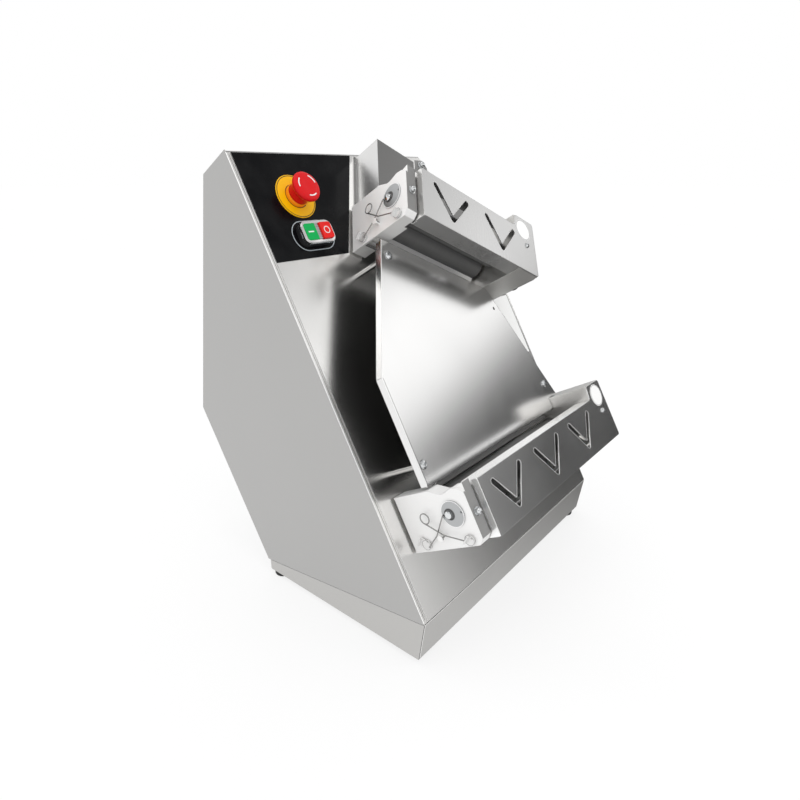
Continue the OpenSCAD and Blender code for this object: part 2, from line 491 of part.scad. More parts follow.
// ---------- nodes of the two roller units ----------
upper_vs = [54.5,156.5];
lower_vs = [55,158.2,259.8];
module upper_left_housing() color([0.9,0.9,0.89]) UU() left_housing_u(true);
module lower_left_housing() color([0.9,0.9,0.89]) LL() left_housing_u();
module upper_right_housing() color(steel) UU() right_housing_u(upper_len);
module lower_right_housing() color(steel) LL() right_housing_u(lower_len);
module gear_covers() color(steel) { UU() gear_cover_u(upper_len); LL() gear_cover_u(lower_len); }
module upper_guard() color([0.55,0.55,0.55]) UU() guard_u(upper_len,upper_vs);
module lower_guard() color([0.45,0.45,0.45]) LL() guard_u(lower_len,lower_vs);
module shaft_bushes() color([0.75,0.55,0.3]) { UU() bushes_u(upper_len); LL() bushes_u(lower_len); }
module gearmotors() color([0.35,0.37,0.4]) { UU() gearmotor_u(upper_len,95); LL() gearmotor_u(lower_len,120); }
module upper_drive_gear() color([0.8,0.8,0.75]) UU() drive_gear_u(upper_len);
module lower_drive_gear() color([0.8,0.8,0.75]) LL() drive_gear_u(lower_len);
module upper_rear_shaft() color([0.7,0.7,0.7]) UU() rear_shaft_u(upper_len);
module lower_rear_shaft() color([0.7,0.7,0.7]) LL() rear_shaft_u(lower_len);
module upper_rear_roller() color([0.88,0.88,0.85]) UU() rear_roller_u(upper_len);
module lower_rear_roller() color([0.88,0.88,0.85]) LL() rear_roller_u(lower_len);
module upper_rear_gear() color([0.9,0.9,0.85]) UU() rear_gear_u(upper_len);
module lower_rear_gear() color([0.9,0.9,0.85]) LL() rear_gear_u(lower_len);
module upper_gap_axle() color([0.72,0.72,0.72]) UU() gap_axle_u(upper_len);
module lower_gap_axle() color([0.72,0.72,0.72]) LL() gap_axle_u(lower_len);
module upper_gap_lever() color([0.1,0.1,0.1]) UU() gap_lever_u(upper_len);
module lower_gap_lever() color([0.1,0.1,0.1]) LL() gap_lever_u(lower_len);
module upper_front_bushes() color([0.75,0.55,0.3]) UU() front_bushes_u(upper_len);
module lower_front_bushes() color([0.75,0.55,0.3]) LL() front_bushes_u(lower_len);
module upper_front_roller() color([0.88,0.88,0.85]) UU() front_roller_u(upper_len);
module lower_front_roller() color([0.88,0.88,0.85]) LL() front_roller_u(lower_len);
module upper_front_gear() color([0.9,0.9,0.85]) UU() front_gear_u(upper_len);
module lower_front_gear() color([0.9,0.9,0.85]) LL() front_gear_u(lower_len);
rear_touch = [rv-ra*cos(10),rn-ra*sin(10)];
front_touch = [rv-ra*cos(8),fn+ra*sin(8)];
module upper_rear_scraper() color([0.8,0.8,0.8]) UU() scraper_u(upper_len,e1,1,rear_touch);
module lower_rear_scraper() color([0.8,0.8,0.8]) LL() scraper_u(lower_len,e1,1,rear_touch);
module upper_front_scraper() color([0.8,0.8,0.8]) UU() scraper_u(upper_len,e2,-1,front_touch);
module lower_front_scraper() color([0.8,0.8,0.8]) LL() scraper_u(lower_len,e2,-1,front_touch);
sp_r = [[-64.3,33.4],[-51.6,53],[rv+0.6,en-13.6]];
sp_f = [[-61,92],[-51.4,66],[-34.1,43.9]];
ring_at = [-28.1,46.6];
module upper_rear_spring() color([0.75,0.75,0.75]) UU() wire_u(sp_r,-22.4,[[-64.3,33.4,2.6],[rv+0.6,en-13.6,3.6]],false);
module lower_rear_spring() color([0.75,0.75,0.75]) LL() wire_u(sp_r,-22.4,[[-64.3,33.4,2.6],[rv+0.6,en-13.6,3.6]],false);
module upper_front_spring() color([0.75,0.75,0.75]) UU() wire_u(sp_f,-24.3,[],true);
module lower_front_spring() color([0.75,0.75,0.75]) LL() wire_u(sp_f,-24.3,[],true);

left_side_panel();
right_side_panel();
front_panel();
top_cover();
rear_cover();
base_pan();
feet();
control_overlay();
estop_ring();
estop_collar();
estop_block();
estop_plunger();
estop_head();
switch_body();
switch_bezel();
indicator_lens();
switch_block();
start_button();
stop_button();
feed_plate();
chute_plate();
chute_standoffs();
screws();
upper_left_housing();
lower_left_housing();
upper_right_housing();
lower_right_housing();
upper_guard();
lower_guard();
gear_covers();
shaft_bushes();
control_box();
cable_gland();
gearmotors();
upper_drive_gear();
upper_rear_shaft();
upper_rear_roller();
upper_rear_gear();
upper_gap_axle();
upper_gap_lever();
upper_front_bushes();
upper_front_roller();
upper_front_gear();
upper_rear_scraper();
upper_front_scraper();
upper_rear_spring();
upper_front_spring();
lower_drive_gear();
lower_rear_shaft();
lower_rear_roller();
lower_rear_gear();
lower_gap_axle();
lower_gap_lever();
lower_front_bushes();
lower_front_roller();
lower_front_gear();
lower_rear_scraper();
lower_front_scraper();
lower_rear_spring();
lower_front_spring();
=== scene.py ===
import bpy, bmesh, math
from mathutils import Matrix, Vector, Euler


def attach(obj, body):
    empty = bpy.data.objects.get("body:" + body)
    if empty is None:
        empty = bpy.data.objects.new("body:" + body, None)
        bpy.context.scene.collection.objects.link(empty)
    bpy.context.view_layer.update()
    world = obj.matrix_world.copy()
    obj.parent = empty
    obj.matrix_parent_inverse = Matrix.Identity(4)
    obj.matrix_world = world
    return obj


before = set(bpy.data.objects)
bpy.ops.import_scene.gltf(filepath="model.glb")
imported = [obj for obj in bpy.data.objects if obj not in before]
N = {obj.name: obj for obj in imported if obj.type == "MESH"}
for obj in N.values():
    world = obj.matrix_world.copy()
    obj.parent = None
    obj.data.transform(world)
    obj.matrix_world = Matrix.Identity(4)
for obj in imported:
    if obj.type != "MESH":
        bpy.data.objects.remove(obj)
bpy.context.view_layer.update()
col = bpy.context.scene.collection

# ------------------------------------------------------------------ frames
LEAN = math.radians(30)
TURN = math.radians(28.2)
OX, OY, OZ = -0.236, -0.1822, 0.067
C30, S30 = math.cos(LEAN), math.sin(LEAN)


def P(x, t, n):
    """panel frame (mm) to the row frame (m)"""
    x, t, n = x / 1000, t / 1000, n / 1000
    return Vector((x + OX, S30 * t - C30 * n + OY, C30 * t + S30 * n + OZ))


def UU(u, v, n):
    c, s = math.cos(TURN), math.sin(TURN)
    return P(185.4 + u * c + v * s, 527.2 - u * s + v * c, n)


def LL(u, v, n):
    return P(49.5 + u, 151.1 + v, n)


# ------------------------------------------------------------------ materials
class G:
    """a small node-graph writer"""

    def __init__(self, name):
        self.m = bpy.data.materials.new(name)
        self.m.use_nodes = True
        self.t = self.m.node_tree
        self.t.nodes.clear()
        self.out = self.t.nodes.new("ShaderNodeOutputMaterial")
        self.b = self.t.nodes.new("ShaderNodeBsdfPrincipled")
        self.t.links.new(self.b.outputs[0], self.out.inputs[0])

    def n(self, kind, **kw):
        d = self.t.nodes.new("ShaderNode" + kind)
        for k, v in kw.items():
            if k.startswith("i_"):
                k = k[2:]
                key = int(k) if k.isdigit() else k.replace("_", " ")
                if isinstance(v, bpy.types.NodeSocket):
                    self.t.links.new(v, d.inputs[key])
                else:
                    d.inputs[key].default_value = v
            else:
                setattr(d, k, v)
        return d

    def link(self, a, b):
        self.t.links.new(a, b)

    def coords(self, rot=(0, 0, 0), scale=(1, 1, 1)):
        tc = self.n("TexCoord")
        a = self.n("Mapping", vector_type="POINT")
        a.inputs["Rotation"].default_value = rot
        self.link(tc.outputs["Object"], a.inputs["Vector"])
        b = self.n("Mapping", vector_type="POINT")
        b.inputs["Scale"].default_value = scale
        self.link(a.outputs[0], b.inputs["Vector"])
        return b.outputs[0]

    def noise(self, vec, scale, detail=3, rough=0.5, dist=0.0):
        d = self.n("TexNoise", i_Vector=vec)
        d.inputs["Scale"].default_value = scale
        d.inputs["Detail"].default_value = detail
        d.inputs["Roughness"].default_value = rough
        d.inputs["Distortion"].default_value = dist
        return d.outputs[0]

    def rng(self, v, a, b, c, d):
        m = self.n("MapRange", i_Value=v)
        for k, x in zip(("From Min", "From Max", "To Min", "To Max"), (a, b, c, d)):
            m.inputs[k].default_value = x
        return m.outputs[0]

    def mix(self, f, a, b, mode="MIX"):
        m = self.n("Mix", data_type="RGBA", blend_type=mode)
        if isinstance(f, (int, float)):
            m.inputs[0].default_value = f
        else:
            self.link(f, m.inputs[0])
        for i, x in ((6, a), (7, b)):
            if isinstance(x, bpy.types.NodeSocket):
                self.link(x, m.inputs[i])
            else:
                m.inputs[i].default_value = (*x[:3], 1)
        return m.outputs[2]

    def bump(self, h, strength, dist, normal=None):
        d = self.n("Bump", i_Height=h)
        d.inputs["Strength"].default_value = strength
        d.inputs["Distance"].default_value = dist
        if normal is not None:
            self.link(normal, d.inputs["Normal"])
        return d.outputs[0]

    def edge(self, r):
        d = self.n("Bevel", samples=4)
        d.inputs["Radius"].default_value = r
        return d.outputs[0]

    def painted_light_mask(self, d):
        """1 on faces that look along d, 0 elsewhere; the mask for painting highlight and shade per face"""
        v = self.n("VectorMath", operation="DOT_PRODUCT", i_0=self.n("TexCoord").outputs["Normal"])
        v.inputs[1].default_value = d
        return self.rng(v.outputs["Value"], 0.8, 0.95, 0, 1)

    def set(self, **kw):
        for k, v in kw.items():
            s = self.b.inputs[k.replace("_", " ")]
            if isinstance(v, bpy.types.NodeSocket):
                self.link(v, s)
            else:
                s.default_value = v
        return self.m


PANEL = (-math.radians(60), 0, 0)  # turns the row frame into the panel frame


def steel(name, tone, rough, grain=(1, 40, 1), rot=PANEL, grain_amp=0.014, col_amp=0.02, wear=0.03, edge=0.0008, bump=0.018, warm=0.0, metal=1.0, faces=()):
    """Brushed stainless sheet: long fine scratches, cloudy finger wipes; faces listed in faces get a painted highlight
    (factor above 1) or painted shade (factor below 1).
    """
    g = G(name)
    base = (tone, tone * (1 - 0.004 - warm * 0.3), tone * (1 - 0.012 - warm))
    v = g.coords(rot, grain)
    fine = g.noise(v, 26, 4, 0.62)
    coarse = g.noise(g.coords(rot, tuple(0.5 + 0.5 * x for x in (grain[0] / 6, grain[1] / 6, grain[2] / 6))), 7, 2, 0.5)
    cloud = g.noise(g.coords(rot, (1, 1, 1)), 5.5, 3, 0.55, 0.4)
    c1 = g.mix(g.rng(fine, 0.3, 0.7, 0, 1), [x * (1 - col_amp) for x in base], [min(1, x * (1 + col_amp)) for x in base])
    c2 = g.mix(g.rng(cloud, 0.35, 0.75, 0, wear * 2), c1, [x * 0.86 for x in base])
    # painted light: colour on faces turned along d is multiplied by k, a painted highlight where k is above 1, painted
    # shade where below
    for d, k in faces:
        c2 = g.mix(g.painted_light_mask(d), c2, (k, k * 0.995, k * 0.985), "MULTIPLY")
    r1 = g.rng(fine, 0.25, 0.75, rough - grain_amp, rough + grain_amp)
    r2 = g.n("Math", operation="ADD", i_0=r1, i_1=g.rng(cloud, 0.3, 0.7, -wear, wear))
    r3 = g.n("Math", operation="ADD", i_0=r2.outputs[0], i_1=g.rng(coarse, 0.3, 0.7, -0.003, 0.003), use_clamp=True)
    h = g.bump(fine, bump, 0.0002, g.edge(edge))
    return g.set(Base_Color=c2, Metallic=metal, Roughness=r3.outputs[0], Normal=h)


def plastic(name, colr, rough=0.35, spec=0.5, speck=0.06, coat=0.0, edge=0.0004, grain=900, bump=0.1, wear=0.08):
    g = G(name)
    v = g.coords()
    f = g.noise(v, grain, 3, 0.6)
    c = g.noise(v, 22, 3, 0.55)
    k = g.mix(g.rng(f, 0.3, 0.7, 0, 1), [x * (1 - speck) for x in colr], [min(1, x * (1 + speck)) for x in colr])
    k = g.mix(g.rng(c, 0.4, 0.8, 0, wear * 2), k, [min(1, x * 0.8 + 0.03) for x in colr])
    r = g.rng(c, 0.3, 0.7, rough * (1 - wear), min(1, rough * (1 + wear * 2)))
    return g.set(Base_Color=k, Roughness=r, Normal=g.bump(f, bump, 0.0001, g.edge(edge)), Coat_Weight=coat, Specular_IOR_Level=spec)


def turned(name, tone, rough, axis_rot, metal=1.0, colr=None, bump=0.15, tint=(1, 0.99, 0.97)):
    """Turned part: rings across its axis"""
    g = G(name)
    base = colr or tuple(tone * x for x in tint)
    v = g.coords(axis_rot, (900, 12, 12))
    f = g.noise(v, 1.0, 3, 0.6)
    c = g.noise(g.coords(axis_rot, (1, 1, 1)), 14, 3, 0.5)
    k = g.mix(g.rng(f, 0.3, 0.7, 0, 1), [x * 0.93 for x in base], [min(1, x * 1.05) for x in base])
    k = g.mix(g.rng(c, 0.4, 0.8, 0, 0.2), k, [x * 0.8 for x in base])
    r = g.rng(f, 0.25, 0.75, rough * 0.85, min(1, rough * 1.2))
    return g.set(Base_Color=k, Metallic=metal, Roughness=r, Normal=g.bump(f, bump, 0.0001, g.edge(0.0004)))


# panel frame turned on by the upper unit's skew, for grain that follows it
def unit_rot():
    # rotate the row frame into the panel frame, then by the skew about the normal
    m = Euler(PANEL).to_matrix()
    r = Matrix.Rotation(TURN, 3, "Z") @ m
    return tuple(r.to_euler())


UROT = unit_rot()
M = {}
FX, FY = (110, 0.5, 110), (0.5, 110, 110)
XD, TD, ND = (1, 0, 0), (0, S30, C30), (0, -C30, S30)
cu_, su_ = math.cos(TURN), math.sin(TURN)
UD = tuple(cu_ * a - su_ * b for a, b in zip(XD, TD))
VD = tuple(su_ * a + cu_ * b for a, b in zip(XD, TD))
neg = lambda d: tuple(-x for x in d)
# faces=(direction, factor) paints light into the colour; side sheet: painted highlight on faces turned to the front
M["side"] = steel("side_sheet", 0.47, 0.36, grain=(0.5, 110, 110), rot=(0, 0, 0), wear=0.015, col_amp=0.02, edge=0.001, warm=0.008, faces=((ND, 1.95),))
M["front"] = steel("front_sheet", 0.87, 0.24, grain=FX, wear=0.02, col_amp=0.015, warm=0.015, edge=0.001)
M["top"] = steel("top_sheet", 0.5, 0.34, grain=FY, wear=0.03, col_amp=0.02)
M["rear"] = steel("rear_sheet", 0.6, 0.36, grain=FX, wear=0.04, col_amp=0.02)
# base: painted shade on the front face, painted highlight on the left face
M["base"] = steel("base_sheet", 0.5, 0.36, grain=FY, rot=(0, 0, 0), wear=0.02, col_amp=0.02, edge=0.001, warm=0.01, faces=(((0, -0.9908, -0.1355), 0.9), ((-1, 0, 0), 1.08)))
# chute: painted shade on the back face
M["chute"] = steel("chute_sheet", 0.85, 0.2, grain=FX, wear=0.015, col_amp=0.01, edge=0.0013, faces=((neg(ND), 0.12),))
# end plates: painted shade on front-facing faces, the upper ones also on faces turned down the slope
M["end"] = steel("end_sheet", 0.86, 0.5, grain=FY, wear=0.015, col_amp=0.012, edge=0.0013, metal=0.3, faces=((ND, 0.32),))
M["upper_end"] = steel("upper_end_sheet", 0.9, 0.5, grain=FY, rot=UROT, wear=0.015, col_amp=0.012, edge=0.0013, metal=0.3, faces=((ND, 0.26), (neg(VD), 0.72)))
# guards: painted highlight on the left and top flanges, painted shade on the inner faces
M["guard_l"] = steel("lower_guard_sheet", 0.94, 0.25, grain=FX, wear=0.02, col_amp=0.012, bump=0.01, edge=0.0014, faces=((neg(XD), 1.5), (TD, 1.45), (neg(ND), 0.3)))
M["guard_u"] = steel("upper_guard_sheet", 0.63, 0.28, grain=FX, rot=UROT, wear=0.02, col_amp=0.012, bump=0.01, edge=0.0014, faces=((neg(UD), 1.45), (VD, 1.35), (neg(ND), 0.3)))
# housings: painted highlight on the faces turned to the left
M["housing_l"] = steel("lower_housing_sheet", 0.74, 0.34, grain=FX, wear=0.03, warm=0.02, col_amp=0.02, edge=0.001, faces=((neg(XD), 1.28),))
M["housing_u"] = steel("upper_housing_sheet", 0.72, 0.34, grain=FX, rot=UROT, wear=0.03, warm=0.02, col_amp=0.02, edge=0.001, faces=((neg(UD), 1.2),))
# feed plate: painted shade on front-facing faces
M["feed"] = steel("feed_sheet", 0.8, 0.36, grain=FX, rot=UROT, wear=0.02, col_amp=0.015, edge=0.001, faces=((ND, 0.3),))
# painted edge highlight: a bright, nearly matt strip laid on folded edges and rims
M["edge"] = steel("painted_edge_highlight", 0.95, 0.4, grain=FX, wear=0.02, col_amp=0.02, edge=0.0002, metal=0.12)
# dark seam lines, also used for painted shadows round bolts, screws and tabs and at the housing feet
M["seam"] = steel("dark_seam_and_painted_shade", 0.09, 0.5, grain=FY, wear=0.02, col_amp=0.05, edge=0.0002, metal=0.4)
M["screw"] = turned("screw_zinc", 0.72, 0.14, PANEL, tint=(0.97, 0.99, 1.0))
M["tab"] = steel("scraper_tab", 0.78, 0.38, grain=FY, wear=0.03, col_amp=0.02, edge=0.0006, metal=0.6)
M["disc"] = turned("disc_face", 0.5, 0.3, PANEL, tint=(0.97, 0.99, 1.0), bump=0.05)
M["zinc"] = turned("zinc_plate", 0.8, 0.16, PANEL, tint=(0.97, 0.99, 1.0))
M["rod"] = turned("turned_steel", 0.62, 0.25, (0, 0, 0))
M["spring"] = turned("spring_wire", 0.34, 0.3, (0, 0, 0))
M["roller"] = turned("roller_plastic", 0, 0.38, (0, 0, 0), metal=0.0, colr=(0.12, 0.12, 0.118))
M["roller_u"] = turned("upper_roller_plastic", 0, 0.38, tuple((Matrix.Rotation(0, 3, "X") @ Euler(UROT).to_matrix()).to_euler()), metal=0.0, colr=(0.12, 0.12, 0.118))
M["gear"] = plastic("gear_plastic", (0.8, 0.79, 0.72), 0.45)
M["bronze"] = turned("bush_bronze", 0, 0.3, (0, 0, 0), colr=(0.6, 0.42, 0.2))
M["film"] = plastic("black_film", (0.0028, 0.0031, 0.0038), 0.18, spec=0.1, speck=0.25, coat=0.0, edge=0.0002, grain=1500, bump=0.02, wear=0.12)
M["yellow"] = plastic("ring_yellow", (0.86, 0.47, 0.002), 0.34, spec=0.16, speck=0.03, wear=0.03)
M["orange"] = plastic("collar_orange", (0.9, 0.28, 0.006), 0.32, spec=0.2, speck=0.03, wear=0.03)
M["red"] = plastic("head_red", (0.6, 0.004, 0.007), 0.36, spec=0.17, speck=0.04, coat=0.02, wear=0.04)
M["darkred"] = plastic("plunger_red", (0.3, 0.005, 0.01), 0.4, speck=0.04)
M["keyred"] = plastic("key_red", (0.7, 0.012, 0.01), 0.32, spec=0.17, speck=0.03, coat=0.02, wear=0.04)
M["green"] = plastic("key_green", (0.001, 0.36, 0.075), 0.32, spec=0.15, speck=0.03, coat=0.02, wear=0.02)
M["lens"] = plastic("lens_grey", (0.36, 0.37, 0.37), 0.3, speck=0.05)
M["black"] = plastic("black_plastic", (0.014, 0.014, 0.016), 0.42)
M["chrome"] = turned("bezel_chrome", 0.88, 0.12, PANEL, tint=(1, 1, 1), bump=0.02)
M["rubber"] = plastic("foot_rubber", (0.012, 0.012, 0.012), 0.6, spec=0.3, bump=0.3)
M["motor"] = plastic("motor_paint", (0.05, 0.06, 0.075), 0.4, bump=0.2)
M["box"] = plastic("box_grey", (0.45, 0.46, 0.47), 0.5)
M["white"] = plastic("print_white", (0.78, 0.78, 0.78), 0.5, speck=0.02, bump=0.02)
M["paper"] = plastic("blank_paper", (0.84, 0.84, 0.83), 0.5, speck=0.015, bump=0.03, grain=600)
M["paper_rim"] = plastic("paper_rim", (0.06, 0.06, 0.06), 0.5, speck=0.05)
M["rim_grey"] = plastic("sticker_rim", (0.33, 0.33, 0.34), 0.5, speck=0.05)
M["print"] = plastic("print_outline", (0.42, 0.47, 0.5), 0.45, speck=0.03, bump=0.02)
M["ink"] = plastic("print_black", (0.012, 0.01, 0.006), 0.4, speck=0.05, bump=0.02)

USE = {
    "left_side_panel": "side", "right_side_panel": "side", "front_panel": "front", "top_cover": "top", "rear_cover": "rear",
    "base_pan": "base", "feet": "rubber", "control_overlay": "film", "estop_ring": "yellow", "estop_collar": "orange",
    "estop_block": "black", "estop_plunger": "darkred", "estop_head": "red", "switch_body": "black", "switch_bezel": "chrome",
    "indicator_lens": "lens", "switch_block": "black", "start_button": "green", "stop_button": "keyred", "feed_plate": "feed",
    "chute_plate": "chute", "chute_standoffs": "rod", "screws": "screw", "upper_left_housing": "upper_end", "lower_left_housing": "end",
    "upper_right_housing": "housing_u", "lower_right_housing": "housing_l", "upper_guard": "guard_u", "lower_guard": "guard_l",
    "gear_covers": "rear", "shaft_bushes": "bronze", "control_box": "box", "cable_gland": "black",
    "gearmotors": "motor",
}
for p in ("upper_", "lower_"):
    USE.update({p + "drive_gear": "rod", p + "rear_shaft": "rod", p + "rear_roller": "roller", p + "rear_gear": "gear",
                p + "gap_axle": "disc", p + "gap_lever": "black", p + "front_bushes": "bronze", p + "front_roller": "roller",
                p + "front_gear": "gear", p + "rear_scraper": "tab", p + "front_scraper": "tab", p + "rear_spring": "spring", p + "front_spring": "spring"})
USE["upper_front_roller"] = USE["upper_rear_roller"] = "roller_u"
for name, o in N.items():
    mat = M[USE[name]]
    o.data.materials.clear()
    o.data.materials.append(mat)


# ------------------------------------------------------------------ small pieces
def mesh_obj(name, bm, mat, smooth=True):
    me = bpy.data.meshes.new(name)
    bmesh.ops.recalc_face_normals(bm, faces=bm.faces)
    bm.to_mesh(me)
    bm.free()
    for f in me.polygons:
        f.use_smooth = smooth
    me.materials.append(M[mat])
    o = bpy.data.objects.new(name, me)
    col.objects.link(o)
    return o


def bevel(o, w, seg=2):
    m = o.modifiers.new("bevel", "BEVEL")
    m.width, m.segments, m.limit_method, m.angle_limit = w, seg, "ANGLE", math.radians(40)
    return o


def plate(name, F, pts, n0, n1, mat, body, holes=()):
    """thin flat piece between heights n0 and n1; pts in frame F"""
    bm = bmesh.new()
    lo = [bm.verts.new(F(x, y, n0)) for x, y in pts]
    hi = [bm.verts.new(F(x, y, n1)) for x, y in pts]
    bm.faces.new(lo[::-1])
    bm.faces.new(hi)
    k = len(pts)
    for i in range(k):
        bm.faces.new((lo[i], lo[(i + 1) % k], hi[(i + 1) % k], hi[i]))
    o = mesh_obj(name, bm, mat, smooth=False)
    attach(o, body)
    return o


def band(name, F, inner, outer, n0, n1, mat, body, closed=True):
    """flat band between two outlines with the same number of points"""
    bm = bmesh.new()
    rows = []
    for pts, n in ((inner, n0), (inner, n1), (outer, n1), (outer, n0)):
        rows.append([bm.verts.new(F(x, y, n)) for x, y in pts])
    k = len(inner)
    last = k if closed else k - 1
    for i in range(last):
        j = (i + 1) % k
        for a in range(4):
            b = (a + 1) % 4
            bm.faces.new((rows[a][i], rows[a][j], rows[b][j], rows[b][i]))
    if not closed:
        bm.faces.new([rows[a][0] for a in range(4)])
        bm.faces.new([rows[a][k - 1] for a in (3, 2, 1, 0)])
    o = mesh_obj(name, bm, mat, smooth=False)
    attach(o, body)
    return o


def circle(cx, cy, r, k=96):
    return [(cx + r * math.cos(2 * math.pi * i / k), cy + r * math.sin(2 * math.pi * i / k)) for i in range(k)]


def arc(cx, cy, r, a0, a1, k=24):
    return [(cx + r * math.cos(math.radians(a0 + (a1 - a0) * i / k)), cy + r * math.sin(math.radians(a0 + (a1 - a0) * i / k))) for i in range(k + 1)]


def rrect(cx, cy, dx, dy, r, k=10):
    o = []
    for sx, sy, a in ((1, 1, 0), (-1, 1, 90), (-1, -1, 180), (1, -1, 270)):
        o += arc(cx + sx * (dx - r), cy + sy * (dy - r), r, a, a + 90, k)
    return o


# printed outline round the start/stop switch
band("switch_outline", P, rrect(82.5, 504.3, 33.4, 19.4, 18.6), rrect(82.5, 504.3, 34.6, 20.6, 19.8), 0.68, 0.82, "print", "cabinet")
# black rims on the yellow ring
band("ring_rim_outer", P, circle(79, 558.3, 27.9), circle(79, 558.3, 28.8), 1.86, 1.99, "ink", "cabinet")
band("ring_rim_inner", P, circle(79, 558.3, 15.7), circle(79, 558.3, 16.5), 1.86, 1.99, "ink", "cabinet")
# three white arcs on the stop head
for i, a in enumerate((40, 160, 280)):
    band(f"head_arc_{i}", P, arc(79, 558.3, 13.0, a - 26, a + 26), arc(79, 558.3, 14.6, a - 26, a + 26), 29.75, 30.08, "white", "stop_head", closed=False)
# bar on the start key and ring on the stop key
plate("start_mark", P, rrect(81.5 - 12.8, 504, 4.6, 0.85, 0.6, 4), 13.55, 13.72, "white", "start_key")
band("stop_mark", P, circle(81.5 + 12.7, 504, 3.9, 48), circle(81.5 + 12.7, 504, 5.0, 48), 15.55, 15.72, "white", "stop_key")
# blank sheet on the front panel and blank round stickers on the guards
lab = [(392, 249), (468, 249), (468, 360), (392, 360)]
plate("blank_sheet", P, rrect(430, 304.5, 38, 55.5, 2, 4), 0.0, 0.22, "paper", "cabinet")
band("blank_sheet_rim", P, rrect(430, 304.5, 36.8, 54.3, 1.5, 4), rrect(430, 304.5, 37.9, 55.4, 1.8, 4), 0.2, 0.3, "paper_rim", "cabinet")
for nm, F, cu, cv in (("upper", UU, 212.3, -0.2), ("lower", LL, 338.7, 0.7)):
    plate(f"{nm}_round_sticker", F, circle(cu, cv, 17, 72), 124.98, 125.22, "paper", "cabinet")
    band(f"{nm}_sticker_rim", F, circle(cu, cv, 15.4), circle(cu, cv, 16.3), 125.2, 125.28, "rim_grey", "cabinet")



def BF(x, d, n):
    """front face of the base: across, down the face, outwards (mm)"""
    y, z = 0.1355 * d - 0.9908 * n, -0.5 - 0.9908 * d - 0.1355 * n
    return Vector((x / 1000 + OX, y / 1000 + OY, z / 1000 + OZ))


def strip(name, F, a, b, w, n0, n1, mat, body):
    """narrow strip from a to b, w wide"""
    a, b = Vector(a), Vector(b)
    d = (b - a).normalized()
    q = Vector((-d.y, d.x)) * w / 2
    k = d * w * 0.35
    pts = [a - q + k, a + k * 0, a + q + k, b + q - k, b, b - q - k]
    return plate(name, F, [tuple(x) for x in pts], n0, n1, mat, body)


def spun(name, F, cx, cy, prof, mat, body, k=40):
    """turned piece from (radius, height) pairs, about the third axis of F"""
    bm = bmesh.new()
    rows = [[bm.verts.new(F(cx + r * math.cos(2 * math.pi * i / k), cy + r * math.sin(2 * math.pi * i / k), h)) for i in range(k)] for r, h in prof]
    for a, b in zip(rows, rows[1:]):
        for i in range(k):
            j = (i + 1) % k
            bm.faces.new((a[i], a[j], b[j], b[i]))
    bm.faces.new(rows[0])
    bm.faces.new(rows[-1])
    o = mesh_obj(name, bm, mat)
    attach(o, body)
    return o


def vee(name, F, x, y, r, w, n0, n1, mat):
    """painted highlight rim round a V slot: its outline and the same outline w wider"""
    A, Bp, C = Vector((x - 30, y + 21)), Vector((x + 30, y + 21)), Vector((x, y - 19))
    d1, d2 = (C - A).normalized(), (Bp - C).normalized()

    def outline(q):
        p1, p2 = Vector((-d1.y, d1.x)), Vector((-d2.y, d2.x))
        a1 = math.degrees(math.atan2(p1.y, p1.x))
        a2 = math.degrees(math.atan2(p2.y, p2.x))
        t = ((C + p2 * q) - (C + p1 * q)).dot(p2) / d1.dot(p2)
        inner = C + p1 * q + d1 * t
        o = arc(A.x, A.y, q, a1, a1 + 180, 8)
        o += arc(C.x, C.y, q, a1 + 180, a2 + 180 if a2 > a1 else a2 + 540, 8)
        o += arc(Bp.x, Bp.y, q, a2 - 180, a2, 8)
        o.append((inner.x, inner.y))
        return o
    return band(name, F, outline(r), outline(r + w), n0, n1, mat, "cabinet")


# dark seams and painted edge highlights along the cabinet and base edges
strip("left_seam", P, (4.2, 5), (4.2, 616), 0.5, -0.05, 0.03, "seam", "cabinet")
strip("left_painted_highlight", P, (0.9, 2), (0.9, 619), 1.3, -0.3, 0.04, "edge", "cabinet")
strip("base_front_seam", BF, (0.9, 0.5), (0.9, 57.5), 1.3, -0.2, 0.06, "seam", "cabinet")
strip("base_front_painted_highlight", BF, (2.3, 1), (2.3, 57), 0.9, -0.2, 0.08, "edge", "cabinet")
strip("base_top_painted_highlight", BF, (1, 0.8), (470, 0.8), 0.8, -0.2, 0.08, "edge", "cabinet")
# end bolts of the eccentric axles, painted shadows round them and painted highlight rims on the discs
FN, EN, RV = 81.5, 87.5, -29.8
for nm, F in (("upper", UU), ("lower", LL)):
    Fu = lambda v, n, u, F=F: F(u, v, n)
    spun(f"{nm}_disc_bolt", Fu, RV, FN, [(4.9, -20.4), (4.9, -21.3), (4.4, -22.2), (3.2, -22.9), (1.6, -23.3), (0.4, -23.35)], "zinc", f"{nm}_gap")
    band(f"{nm}_disc_shade", Fu, circle(RV + 0.3, FN + 0.8, 5.1, 48), circle(RV + 0.3, FN + 1.6, 7.4, 48), -19.9, -19.82, "seam", f"{nm}_gap")
    band(f"{nm}_disc_edge_highlight", Fu, circle(RV, EN, 15.7, 72), circle(RV, EN, 16.45, 72), -19.9, -19.82, "edge", f"{nm}_gap")
    # painted shadow: a dark strip where the housing meets the panel
    plate(f"{nm}_foot_painted_shadow", Fu, [(-69, 3.05), (-69, 3.9), (1, 3.9), (1, 3.05)], -18.36, -18.28, "seam", "cabinet")
# painted highlight rims round the slots
for nm, F, xs in (("upper", UU, (54.5, 156.5)), ("lower", LL, (55, 158.2, 259.8))):
    for i, x in enumerate(xs):
        vee(f"{nm}_slot_highlight_rim_{i}", F, x, -35.5, 4.1, 0.3, 124.95, 125.05, "edge")
